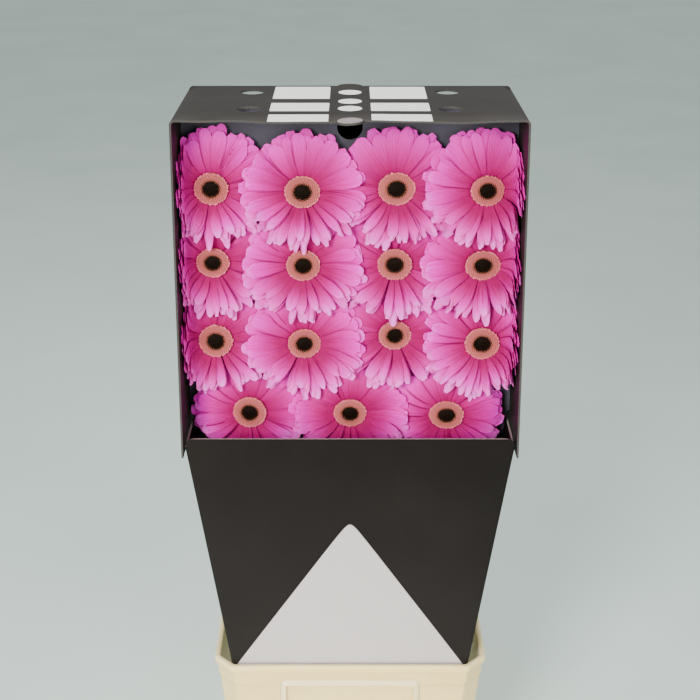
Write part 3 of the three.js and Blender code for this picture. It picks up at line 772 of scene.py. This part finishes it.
# Painted shadow: a dark line along one side of some petals, where a neighbouring petal shades it.
shadow_side = ((across - 0.84) * 9.0).clamped()
shadowed = ((chance - 0.5) * 5.0).clamped()
pink = blend(shadow_side * shadowed * (1.0 - at_tip), pink, (0.2, 0.0005, 0.06))
feed(shader, {"Base Color": pink, "Roughness": streak * 0.25 + 0.36,
              "Normal": bump(vein * 0.35 + streak, 0.45, 0.0007)})


def smooth_max(a, b, soft=2.0):
    """The larger of two heights, with the corner between them rounded off by a parabola."""
    return np.maximum(a, b) + np.maximum(soft - np.abs(a - b), 0) ** 2 / (4 * soft)


def forward_at(index, x, z):
    """How far forward a bloom's petals lie at a place on the front. Free petals leave the tilted disc level
    and bend back by the square of their distance; over blooms laid in before, they lie on them."""
    levels = []
    for bloom in blooms[:index + 1]:
        away = np.hypot(x - bloom["x"], (z - bloom["z"]) / cos(TILT))
        bent = (np.maximum(away - FLAT_RADIUS, 0) / (BLOOM_RADIUS - FLAT_RADIUS)) ** 2
        level = -BLOOM_Y - (z - bloom["z"]) * tan(TILT) - REFLEX * bent
        for under, past in levels:
            lifted = under + LYING_GAP - LYING_FALL * np.maximum(past, 0)
            level = np.where(past < LYING_REACH, smooth_max(level, lifted), level)
        levels.append((level, away - bloom["radius"]))
    return levels[-1][0]


def sheet_point(index, r, angle):
    """A place on a bloom's sheet of petals at a distance and angle from its centre. Past a short way
    towards a side wall, the sheet turns forward round a circle and runs on along the wall."""
    bloom = blooms[index]
    across, up = r * np.cos(angle), r * np.sin(angle)
    past = across * bloom["wall"] - WALL_BEND_START
    turn = np.clip(past / bloom["bend"], 0, WALL_BEND_ANGLE)
    rest = past - turn * bloom["bend"]
    bent = bloom["wall"] * (WALL_BEND_START + bloom["bend"] * np.sin(turn) + rest * np.cos(turn))
    lift = bloom["bend"] * (1 - np.cos(turn)) + rest * np.sin(turn)
    near_wall = (past > 0) & (bloom["wall"] != 0)
    across = np.where(near_wall, bent, across)
    x, z = bloom["x"] + across, bloom["z"] + up * cos(TILT)
    return np.stack([x, -(forward_at(index, x, z) + np.where(near_wall, lift, 0)), z], axis=-1)


def sheet_frame(index, r, angle, step=0.6):
    """The sheet's place and its own normal there, which is the cross product of its two directions."""
    point = sheet_point(index, r, angle)
    outward = sheet_point(index, r + step, angle) - point
    around = sheet_point(index, r, angle + step / r) - point
    return point, unit(np.cross(outward, around))


def closed_blade(rows, columns):
    """A thin blade whose two faces share their outline: its faces, the front point under each of their
    corners, and the front points inside the outline. The back's own points, one for each of these, follow
    the front's."""
    on_rim = np.ones((rows, columns), bool)
    on_rim[1:-1, 1:-1] = False
    inner = np.flatnonzero(~on_rim)
    back = np.arange(on_rim.size)
    back[inner] = on_rim.size + np.arange(len(inner))
    quads = grid_quads(rows, columns)
    return np.concatenate([quads, back[quads][:, ::-1]]), np.concatenate([quads, quads[:, ::-1]]), inner


def repeated(faces, uv, tint, size, start=0):
    """The faces, UVs and tints of many copies of a shape, whose points follow one another from a start.
    Every copy has its own pair of tint values."""
    copies = (len(tint), *faces.shape)
    many = faces + np.arange(len(tint))[:, None, None] * size + start
    uv = np.broadcast_to(uv, (*copies, 2))
    tint = np.broadcast_to(tint[:, None, None], (*copies, 2))
    return [values.reshape(-1, *values.shape[2:]) for values in (many, uv, tint)]


# Each layer: how many petals, their reach in radii, how much shorter the lower ones are, their level over
# the sheet, and where round the bloom they start.
PETAL_LAYERS = [(25, 1.05, 0.04, -1.9, 0.0), (24, 1.0, 0.02, 0.1, 0.5), (21, 0.98, 0.06, 2.1, 0.25)]
ROOT, ROOT_DEPTH, ROOT_RISE = 13.0, 1.5, 12.0
FOLD_AT, FOLD_DEPTH = 0.62, 0.55
CURL_FROM, ROLL_NARROWER = 0.62, 0.35
BLADE_HALF_THICK = 0.34
HALF_WIDTH, LOW_NARROWER, HIGH_NARROWER, HIGH_SHORTER = 8.8, 2.8, 1.2, 0.04
WALL_SIDE, WALL_SHORTER = 0.35, 0.93
u, v = np.meshgrid([-1, -FOLD_AT, 0.0, FOLD_AT, 1], [0, 0.14, 0.3, 0.46, 0.62, 0.76, 0.87, 0.95, 1.0])
petal_width = np.array([0.34, 0.5, 0.72, 0.9, 1, 1, 0.98, 0.91, 0.76])[:, None]
petal_faces, under_corner, petal_inner = closed_blade(*u.shape)
petal_uv = np.column_stack([(u.ravel() + 1) / 2, v.ravel()])[under_corner]


def petal_points(index, angle, length, half_width, level, lean, cup, curl, roll, notch):
    """Both faces of petals, one row of the arrays for each. Along its length a petal widens and rounds off
    to a notched tip, narrower where it rolls. Across it, two folds run lengthwise, and its edges are cupped
    by a square. Its tip curls by the square of the way past the curl's start. It leans to one side, and is
    thickest along its middle."""
    angle, length, half_width, level, lean, cup, curl, roll, notch = (
        value[:, None, None] for value in (angle, length, half_width, level, lean, cup, curl, roll, notch))
    cut_in = (0.06 + 1.5 * notch) * u ** 2 + notch * (u == 0)
    away = ROOT + (length - ROOT) * (v - cut_in * v ** 4)
    aside = u * half_width * petal_width * (1 - ROLL_NARROWER * roll * v ** 2)
    rising = np.clip((away - ROOT) / ROOT_RISE, 0, 1)
    fold = FOLD_DEPTH * (np.abs(u) == FOLD_AT) * v * (1 - 0.5 * v)
    tip = np.clip(v - CURL_FROM, 0, 1) / (1 - CURL_FROM)
    height = (-ROOT_DEPTH + (level + ROOT_DEPTH) * rising + lean * u * np.clip(v * 2, 0, 1) - fold
              + cup * u ** 2 * v + curl * tip ** 2)
    thick = BLADE_HALF_THICK * (1 - u ** 4) * (1 - 0.5 * v) * ((v > 0) & (v < 1))
    point, normal = sheet_frame(index, np.hypot(away, aside), angle + np.arctan2(aside, away))
    front, back = (point + normal * (height + side * thick)[..., None] for side in (1, -1))
    return front.reshape(len(front), -1, 3), back.reshape(len(back), -1, 3)[:, petal_inner]


def make_petals(index, bloom):
    """All of one bloom's ray florets. The lower ones are narrower, more cupped and curled, and uneven."""
    rng = np.random.default_rng(700 + index)
    slender = rng.uniform(0.88, 1.04)
    layers = []
    for count, reach, shorter, level, start in PETAL_LAYERS:
        angle = bloom["spin"] + (np.arange(count) + start) * 2 * pi / count + rng.normal(0, 0.075, count)
        low, high = np.clip(-np.sin(angle), 0, 1), np.clip(np.sin(angle), 0, 1)
        at_wall = np.cos(angle) * bloom["wall"] > WALL_SIDE
        length = bloom["radius"] * (reach - shorter * low - HIGH_SHORTER * high)
        length *= np.where(at_wall, WALL_SHORTER, 1) + rng.uniform(-0.07, 0.04, count) * (1 + 0.6 * low)
        half_width = slender * (HALF_WIDTH - LOW_NARROWER * low - HIGH_NARROWER * high)
        half_width *= rng.uniform(0.75, 1.1, count)
        lean = rng.uniform(0.3, 0.95, count)
        cup = rng.uniform(-0.4, 0.4, count) + 1.8 * low
        curl = rng.uniform(-0.8, 0.6, count) + low * rng.uniform(-0.6, 4.6, count)
        notch = rng.uniform(0.0, 0.07, count)
        level = level + rng.uniform(-0.3, 0.3, count)
        points = np.concatenate(
            petal_points(index, angle, length, half_width, level, lean, cup, curl, low, notch), axis=1)
        layers.append((points, np.column_stack([rng.uniform(0, 1, count), -np.sin(angle)])))
    points, tint = (np.concatenate(parts) for parts in zip(*layers))
    tint[:, 0] = tint[:, 0] * 0.75 + rng.uniform(0, 0.25)
    faces, uv, tint = repeated(petal_faces, petal_uv, tint, points.shape[1])
    add_piece(f"ray_florets_{bloom['name']}", points, [faces], [petal_pink],
              [f"petals_{bloom['name']}"], uv=[uv], tint=[tint], crease=75)


for index, bloom in enumerate(blooms):
    make_petals(index, bloom)


# Discs
# The middle of each bloom, tilted its own way. On a domed cushion stand the pointed buds of a raised dark
# eye and the closed buds of a peach ring, in a spiral, and a fringe of short florets with pink tips.

disc_florets, tree, shader = new_finish("disc_florets", {
    "Specular IOR Level": 0.1, "Subsurface Weight": 0.1, "Subsurface Scale": 0.002})
zone, up_floret = layer_pair(tree, "UVMap")
chance = layer_pair(tree, "Tint")[0]
colour = ramp(zone + (chance - 0.5) * 0.05, (0.0, (0.016, 0.006, 0.002)), (0.4, (0.011, 0.004, 0.002)),
              (0.5, (0.1, 0.035, 0.015)), (0.58, (0.42, 0.13, 0.085)), (0.7, (0.66, 0.16, 0.155)),
              (0.93, (0.78, 0.2, 0.21)), (1.0, (0.86, 0.13, 0.28)))
# Painted shade: each floret and blade is darker towards its root, and the cushion is dark, where they shade
# one another.
shade = ramp(up_floret, (0.0, (0.4, 0.4, 0.4)), (0.7, (1, 1, 1)))
fuzz = noise(object_place(tree), 2500.0)
feed(shader, {"Base Color": blend(1.0, colour, shade, "MULTIPLY"), "Roughness": fuzz * 0.3 + 0.5,
              "Normal": bump(fuzz, 0.4, 0.0003)})

# The cushion's profile: distance from its middle, and height.
CUSHION = np.array([(16.4, -3.0), (17.2, -0.6), (16.6, 1.4), (14.6, 3.0), (12.0, 3.7), (9.8, 3.0),
                    (8.4, 1.6), (6.5, 1.5), (4.0, 2.2), (1.6, 2.6)])
CUSHION_SIDES = 40
BUDS, BUDS_RADIUS, EYE_RADIUS, BUD_SIDES = 300, 16.6, 8.2, 5
BUD_STEPS, BUD_SWELL = np.array([0.0, 0.6, 0.85, 1.0]), np.array([0.75, 1.0, 0.7])
BLADES, BLADE_ROOT, BLADE_WIDTH = 60, 15.2, np.array([0.9, 1.0, 0.8, 0.3])[:, None]
FORWARD = np.array([0, 0, 1.0])


def directions(turn):
    """Unit vectors outwards and round the disc, in the disc's own directions: right, up and forward."""
    outward = np.stack([np.cos(turn), np.sin(turn), 0 * turn], axis=-1)
    return outward, np.cross(FORWARD, outward)


def bud_points(r, turn, length, thick, lean):
    """Closed buds on the cushion: each is a round section carried along a straight line that leans
    outwards, thick at two thirds and pointed at its end."""
    section = np.linspace(0, 2 * pi, BUD_SIDES, endpoint=False)[:, None]
    outward, around = directions(turn)
    axis = outward * np.sin(lean)[:, None] + FORWARD * np.cos(lean)[:, None]
    height = np.interp(r, CUSHION[:0:-1, 0], CUSHION[:0:-1, 1])
    base = outward * r[:, None] + FORWARD * (height - 0.5)[:, None]
    ring = np.cos(section) * around[:, None] + np.sin(section) * np.cross(axis, around)[:, None]
    middles = base[:, None] + axis[:, None] * (BUD_STEPS * length[:, None])[..., None]
    rings = middles[:, :-1, None] + ring[:, None] * (BUD_SWELL * thick[:, None])[..., None, None]
    return np.concatenate([rings.reshape(len(r), -1, 3), middles[:, -1:]], axis=1)


def blade_points(turn, reach, lift):
    """The fringe's blades: each leaves the cushion's edge, arches up by a sine and narrows to its tip."""
    away = BLADE_ROOT + reach[:, None, None] * along_blade
    rise = 1.6 + 1.1 * np.sin(along_blade * 2.2) + lift[:, None, None] * along_blade - 0.3 * over_blade ** 2
    outward, around = (way[:, None, None] for way in directions(turn))
    strip = (outward * away[..., None] + around * (over_blade * BLADE_WIDTH)[..., None]
             + FORWARD * rise[..., None])
    front = strip.reshape(len(turn), -1, 3)
    return np.concatenate([front, front[:, blade_inner] - 0.5 * FORWARD], axis=1)


ring, last_ring, bud_tip = np.arange(BUD_SIDES), 2 * BUD_SIDES, np.full(BUD_SIDES, 3 * BUD_SIDES)
bud_faces = [grid_quads(3, BUD_SIDES, closed=True),
             np.column_stack([last_ring + ring, last_ring + np.roll(ring, -1), bud_tip]), ring[None, ::-1]]
over_blade, along_blade = np.meshgrid([-1.0, 0.0, 1.0], [0.0, 0.4, 0.75, 1.0])
blade_faces, under_corner, blade_inner = closed_blade(*over_blade.shape)
# The second number is painted shade, darker towards each blade's root.
blade_uv = np.stack([0.85 + 0.15 * along_blade, along_blade * 0.6 + 0.4], axis=-1)
blade_uv = blade_uv.reshape(-1, 2)[under_corner]
t = np.linspace(0, 2 * pi, CUSHION_SIDES, endpoint=False)
cushion = np.stack([CUSHION[:, :1] * np.cos(t), CUSHION[:, :1] * np.sin(t), CUSHION[:, 1:] + 0 * t], axis=-1)
cushion_faces = tube_faces(*cushion.shape[:2])
cushion_zone = np.repeat(np.interp(CUSHION[:, 0], [8, 9.5, 11], [0.1, 0.5, 0.7]), CUSHION_SIDES)
# The cushion's second number is painted shade, dark under the buds.
cushion_uv = corner_pairs(cushion_zone, np.full(cushion_zone.shape, 0.2), cushion_faces)
cushion_uv[1] = np.full(cushion_uv[1].shape, 0.15)
cushion_tint = [np.full(pairs.shape, 0.5) for pairs in cushion_uv]


def make_disc(index, bloom):
    """One bloom's disc: the cushion, the eye's and the ring's buds in a golden spiral, and the fringe."""
    rng = np.random.default_rng(300 + index)
    every = np.arange(BUDS)
    r = BUDS_RADIUS * np.sqrt((every + 0.5) / BUDS)
    turn = every * pi * (3 - sqrt(5)) + bloom["spin"]
    eye = r < EYE_RADIUS
    chance = rng.uniform(0, 1, BUDS)
    length = np.where(eye, 3.6 + 1.4 * chance, 2.0 + 0.8 * chance)
    lean = np.where(eye, 0.05 * r, 0.12 * (r - 8) - 0.35) + rng.normal(0, 0.08, BUDS)
    buds = bud_points(r, turn, length, np.where(eye, 0.52, 0.8), lean)
    past_eye = r - EYE_RADIUS
    zone = np.where(eye, 0.02 * r, 0.48 + 0.1 * np.clip(past_eye / 1.8, 0, 1) + 0.03 * past_eye)
    angle = (np.arange(BLADES) + rng.uniform(-0.3, 0.3, BLADES)) * 2 * pi / BLADES
    reach = rng.uniform(1.0, 3.0, BLADES)
    fringe = blade_points(angle, reach, rng.uniform(-0.4, 0.7, BLADES))

    local = np.concatenate([cushion.reshape(-1, 3), buds.reshape(-1, 3), fringe.reshape(-1, 3)])
    local[:, :2] *= rng.uniform([0.93, 0.8], [1.04, 0.95])
    tip, swing = rng.uniform(-0.1, 0.1, 2)
    local[:, 2] += local[:, 1] * tip + local[:, 0] * swing
    points = [bloom["x"], BLOOM_Y, bloom["z"]] + local @ np.array([ACROSS, UP, OUT])

    buds_start = cushion.size // 3
    fringe_start = buds_start + buds.size // 3
    fringe_chance = rng.uniform(0, 1, BLADES)
    parts = list(zip(cushion_faces, cushion_uv, cushion_tint))
    for faces in bud_faces:
        uv = np.stack(np.broadcast_arrays(zone[:, None, None], BUD_STEPS[faces // BUD_SIDES]), axis=-1)
        parts.append(repeated(faces, uv, np.column_stack([chance, chance]), buds.shape[1], buds_start))
    fringe_tint = np.column_stack([fringe_chance, fringe_chance])
    parts.append(repeated(blade_faces, blade_uv, fringe_tint, fringe.shape[1], fringe_start))
    faces, uvs, tints = zip(*parts)
    add_piece(f"disc_florets_{bloom['name']}", points, faces, [disc_florets],
              [f"disc_{bloom['name']}"], uv=uvs, tint=tints, crease=60)


for index, bloom in enumerate(blooms):
    make_disc(index, bloom)


# Hood
# One sheet of black card folded over the blooms as two side walls and a roof, and a back panel with an open
# slot under the roof. The roof has round holes, half-round finger tabs and bare white patches.

BACK_SLOT, BACK_SPACING = 36.0, 12
ROOF_HOLES, ROOF_HOLE = [(-98, 50), (98, 50), (-96, -32), (96, -32)], 12.0
TAB_RADIUS = 12.5
ROOF_FOLD, ROOF_FOLD_STEPS, WALL_LEAN = 5.0, 9, 0.0145
FRONT_SAG, FRONT_FADE, CORNER_FADE = 0.9, 22.0, 20.0
DENT, DENT_X, DENT_Y, DENT_WIDE, DENT_DEEP = 0.6, 96.0, -60.0, 16.0, 12.0
ROOF_PATCHES = [((48, -67.5), (28, 13.5)), ((48, -22), (28, 18)), ((48, 46), (28, 30))]
ROOF_DOTS, DOT_RADIUS, TAB_DOT = (48, 4, -29), 11.5, 11.6
PATCH_DEPTH, WEAR_DEPTH, WEAR_FROM = 1.6, 6.0, -0.052
WHITE_INK, TAB_INK, WORN_AND_SHEEN_INK = (0.9, 0.87, 0.85), (0.3, 0.24, 0.245), (0.06, 0.05, 0.045)


def roof_patch(middle, half, corner, mirrored=False):
    """The mask of a patch on the roof's upper face, on one side or both, from sizes in millimetres."""
    def mask(place):
        x, y, z = split(place)
        inputs = [abs(x) if mirrored else x, y, *(size * MM for size in (*middle, *half, corner))]
        return placed(bare_patch, dict(enumerate(inputs)))[0] * (z > (ROOF_TOP - PATCH_DEPTH) * MM)
    return mask


def front_wear_and_sheen(place):
    """Where hands and water have worn the roof's ink, with painted sheen on top: a cloudy paler band behind
    its front edge.
    """
    y, z = split(place)[1:]
    band = ((WEAR_FROM - y) * 40.0).clamped()
    patchy = ((noise(place, 14.0, 3.0) - 0.3) * 2.0).clamped()
    return band * patchy * (z > (ROOF_TOP - WEAR_DEPTH) * MM)


patches = [(front_wear_and_sheen, WORN_AND_SHEEN_INK)]
patches += [(roof_patch(middle, half, 1.0, mirrored=True), WHITE_INK) for middle, half in ROOF_PATCHES]
patches += [(roof_patch((0, y), (DOT_RADIUS, DOT_RADIUS), DOT_RADIUS), WHITE_INK) for y in ROOF_DOTS]
patches.append((roof_patch((0, FRONT), (TAB_DOT, TAB_DOT), TAB_DOT), TAB_INK))
# The hood's ink is lighter than the hopper's: black print with painted sheen, the light the roof catches from
# above.
hood_card = card_finish("hood_printed_card", (0.018, 0.0145, 0.012), (1,), patches)

# The sheet's middle line from the front: up the left wall, round the fold, over the roof and down again.
hood_low, fold_z = ROOF_TOP - HOOD_HEIGHT, ROOF_TOP - ROOF_FOLD
roof_half = hood_half(fold_z) - ROOF_FOLD
t = np.linspace(pi, pi / 2, ROOF_FOLD_STEPS)
arc = [-roof_half, fold_z] + (ROOF_FOLD - CARD / 2) * np.column_stack([np.cos(t), np.sin(t)])
half_line = np.concatenate([[[CARD / 2 - hood_half(hood_low), hood_low]], arc])
fold_line = np.concatenate([half_line, half_line[::-1] * [-1, 1]])
fold_run = length_along(fold_line)
fold_out = unit(np.gradient(fold_line, fold_run, axis=0)[:, ::-1] * [-1, 1])
fold_out[[0, -1]] = fold_out[[1, -2]] = [[-1, WALL_LEAN], [1, WALL_LEAN]]
wall_end, arc_end, roof_middle = fold_run[1], fold_run[ROOF_FOLD_STEPS], fold_run[-1] / 2


def hood_place(along, y, h):
    """A place on the folded sheet: along is the way round from the left wall's lower edge, and h the height
    over the sheet. The roof's front edge sags in two sine waves that fade out behind it, and the roof is
    dented by a bell curve in front of each front hole."""
    x, z = points_at(fold_line, fold_run, along).T
    out = unit(points_at(fold_out, fold_run, along))
    on_roof = np.clip((roof_half - np.abs(x)) / CORNER_FADE, 0, 1)
    front = np.exp(-np.maximum(y - FRONT, 0) / FRONT_FADE)
    wave = 0.75 * np.sin(x / 23 + 0.6) + 0.25 * np.sin(x / 9.5) - FRONT_SAG
    dent = DENT * np.exp(-((np.abs(x) - DENT_X) / DENT_WIDE) ** 2 - ((y - DENT_Y) / DENT_DEEP) ** 2)
    lift = on_roof * np.minimum(front * wave - dent, 0.0)
    return np.column_stack([x + out[:, 0] * h, y, z + out[:, 1] * h + lift])


def tab_arc(y, reach, forward, steps=20):
    """A tab on an edge of the roof, by half a turn of cosine and sine from one side to the other."""
    t = np.linspace(0, pi, steps)
    return np.column_stack([roof_middle + forward * TAB_RADIUS * np.cos(t), y + reach * np.sin(t)])


def edge_points(along, y):
    """Points along a straight edge of the flat sheet, where one of the two is a single number."""
    return np.stack(np.broadcast_arrays(along, y), axis=-1)


runs = np.concatenate([np.arange(0, wall_end, OUTLINE_STEP), fold_run[1:ROOF_FOLD_STEPS + 1],
                       np.arange(arc_end + 6, roof_middle - TAB_RADIUS - 3, 8)])
runs = np.unique(np.round(runs, 4))
far_runs = fold_run[-1] - runs[::-1]
upright = np.arange(FRONT + 9, BACK - 4, 9.0)
hood_outline = np.concatenate([
    edge_points(runs, FRONT), tab_arc(FRONT, -TAB_RADIUS, -1), edge_points(far_runs, FRONT),
    edge_points(fold_run[-1], upright), edge_points(far_runs[::-1], BACK),
    tab_arc(BACK, TAB_RADIUS - CARD, 1), edge_points(runs[::-1], BACK), edge_points(0, upright[::-1])])
hood_holes = [circle(roof_middle + x, y, ROOF_HOLE) for x, y in ROOF_HOLES]
card_sheet("hood_wrap", hood_outline, hood_holes, hood_place, OUTLINE_STEP, hood_card, ["hood"], crease=35)

slot_z, back_top = ROOF_TOP - BACK_SLOT, ROOF_TOP - CARD
inner_half = [hood_half(z) - CARD for z in (hood_low, slot_z, back_top - ROOF_FOLD)]
post = HOOD_HALF_TOP - 3 * CARD
back_outline = mirrored_outline([
    (inner_half[0], hood_low), (inner_half[1], slot_z), (inner_half[2], back_top - ROOF_FOLD),
    (inner_half[2] - 1.5, back_top - 1.5), (inner_half[2] - ROOF_FOLD, back_top), (post, back_top),
    (post, slot_z + 2), (post - 2, slot_z)])
back_card = card_finish("hood_back_card", (0.012, 0.011, 0.0095), (0,))
card_sheet("hood_back", back_outline, [], upright_card(BACK - CARD / 2, 1), BACK_SPACING, back_card, ["hood"])


# Camera, floor and light
# The camera looks down on the open front from a little above the roof, as the photograph does. The floor is
# plain and pale. Broad soft light comes from the front and above, with a weak fill and a narrow low one.

PICTURE, FOCAL_LENGTH, SHIFT_DOWN = 700, 1313.6, 50

view = bpy.data.cameras.new("camera")
view.sensor_width = 36.0
view.lens = FOCAL_LENGTH / PICTURE * 36.0
view.shift_y = -SHIFT_DOWN / PICTURE
camera = put_in_scene("camera", view)
camera.location = (0.0, -1.2635, 1.0354)
camera.rotation_euler = (radians(90 - 20.3), 0, 0)
bpy.context.scene.camera = camera

floor_pale, tree, shader = new_finish("floor_pale", {"Roughness": 0.8})
cloud = noise(object_place(tree), 3.0)
feed(shader, {"Base Color": ramp(cloud, (0.3, (0.56, 0.67, 0.62)), (0.7, (0.61, 0.72, 0.67)))})
floor_mesh = bpy.data.meshes.new("floor")
floor_mesh.from_pydata([(-9, -6, 0), (9, -6, 0), (9, 18, 0), (-9, 18, 0)], [], [(0, 1, 2, 3)])
floor_mesh.materials.append(floor_pale)
floor = put_in_scene("floor", floor_mesh)


def soft_light(name, place, target, size, power, spread=180):
    """A square area light at a place, facing a target. Its light fans out over the spread, in degrees."""
    light = bpy.data.lights.new(name, "AREA")
    light.size = size
    light.energy = power
    light.spread = radians(spread)
    lamp = put_in_scene(name, light)
    lamp.location = place
    lamp.rotation_euler = (Vector(target) - Vector(place)).to_track_quat("-Z", "Y").to_euler()


soft_light("key_light", (-0.9, -2.0, 1.35), (0, -0.05, 0.5), 0.8, 80)
soft_light("fill_light", (1.1, -1.8, 0.9), (0, -0.05, 0.5), 1.2, 24)
soft_light("top_light", (0.0, 0.5, 2.2), (0, 0, 0.6), 1.2, 24)
soft_light("low_light", (-0.4, -1.0, 0.3), (0, -0.08, 0.14), 0.3, 0.6, spread=42)
world = bpy.data.worlds.new("world")
world.use_nodes = True
background = world.node_tree.nodes["Background"]
background.inputs["Color"].default_value = (0.86, 0.9, 0.9, 1)
background.inputs["Strength"].default_value = 0.75
bpy.context.scene.world = world
